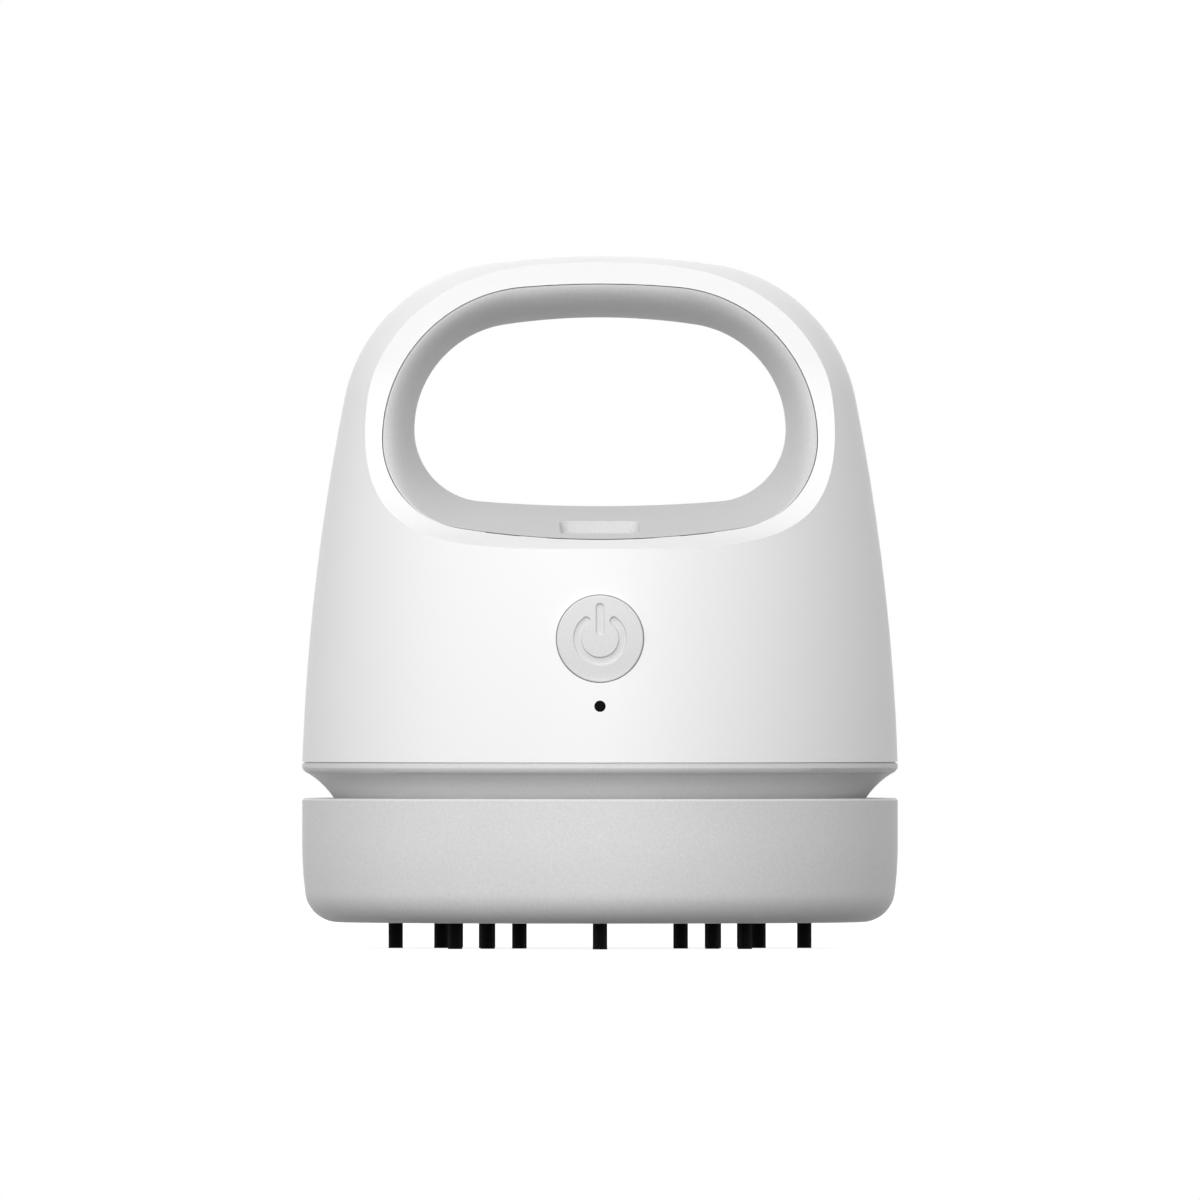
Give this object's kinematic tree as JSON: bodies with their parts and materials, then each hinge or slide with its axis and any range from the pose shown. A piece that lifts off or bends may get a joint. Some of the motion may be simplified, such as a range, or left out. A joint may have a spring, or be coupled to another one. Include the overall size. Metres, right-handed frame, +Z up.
{
  "type": "desktop mini vacuum cleaner",
  "caption": "Desktop mini vacuum cleaner: bell-shaped white body with a through handle in a grey flared liner, front button, grooved neck and pull-off grey dust cup on bristles.",
  "frame": {"origin": "on the desk, under the middle of the bristles, at the object's lowest plane", "axes": "+Z up, -Y is the front with the button, +X is to the right seen from the front"},
  "size_m": [0.086, 0.086, 0.0999],
  "materials": {
    "white_shell": "satin moulded ABS",
    "grey_plastic": "fine matt moulded ABS",
    "button_grey": "satin moulded cap",
    "black_nylon": "stiff nylon bristles",
    "black_lens": "dark light pipe",
    "steel": "drawn or turned steel",
    "brass": "turned or stamped brass",
    "dark_rubber": "soft rubber",
    "circuit_board": "lacquered board",
    "filter_paper": "pleated paper",
    "cell_wrap": "shrink sleeve",
    "magnet": "sintered ferrite",
    "lead_sheath": "insulated wire"
  },
  "bodies": {
    "housing": {"top_shell": "white_shell", "handle_liner_front": "grey_plastic", "handle_liner_rear": "grey_plastic", "liner_screws": "steel", "shell_screws": "steel", "fan_housing": "grey_plastic", "seal_ring": "dark_rubber", "fan_floor": "grey_plastic", "floor_screws": "steel", "filter_frame": "grey_plastic", "filter_media": "filter_paper", "motor_can": "steel", "motor_bush_lower": "brass", "motor_bush_upper": "brass", "motor_end_cap": "black_nylon", "motor_terminals": "brass", "motor_magnets": "magnet", "motor_sleeve": "dark_rubber", "motor_screws": "steel", "battery_cell": "cell_wrap", "battery_cradle": "grey_plastic", "battery_strap": "black_nylon", "cradle_screws": "steel", "control_board": "circuit_board", "tact_switch": "black_nylon", "indicator_lens": "black_lens", "indicator_led": "white_shell", "board_screws": "steel", "charge_port": "steel", "charge_board": "circuit_board", "charge_board_screws": "steel", "motor_leads": "lead_sheath", "battery_leads": "lead_sheath", "charge_leads": "lead_sheath"},
    "rotor": {"motor_shaft": "steel", "motor_armature": "steel", "impeller": "black_nylon"},
    "button": {"power_button": "button_grey", "switch_plunger": "black_nylon"},
    "cup": {"dust_cup": "grey_plastic", "cup_collar": "grey_plastic", "brush_plate": "grey_plastic", "plate_gasket": "dark_rubber", "plate_screws": "steel", "inlet_duct": "grey_plastic", "brush_row_1": "black_nylon", "brush_row_2": "black_nylon", "brush_row_3": "black_nylon", "brush_row_4": "black_nylon", "brush_row_5": "black_nylon", "brush_row_6": "black_nylon", "brush_row_7": "black_nylon", "brush_row_8": "black_nylon"}
  },
  "joints": [
    {"name": "fan_spin", "type": "hinge", "parent": "housing", "child": "rotor", "pos_m": [0, 0, 0.03], "axis": [0, 0, 1], "continuous": true},
    {"name": "button_press", "type": "slide", "parent": "housing", "child": "button", "axis": [0, 1, 0], "range_m": [0, 0.0005], "stiffness_N_per_m": 3000},
    {"name": "cup_pull", "type": "slide", "parent": "housing", "child": "cup", "axis": [0, 0, -1], "range_m": [0, 0.03]}
  ]
}
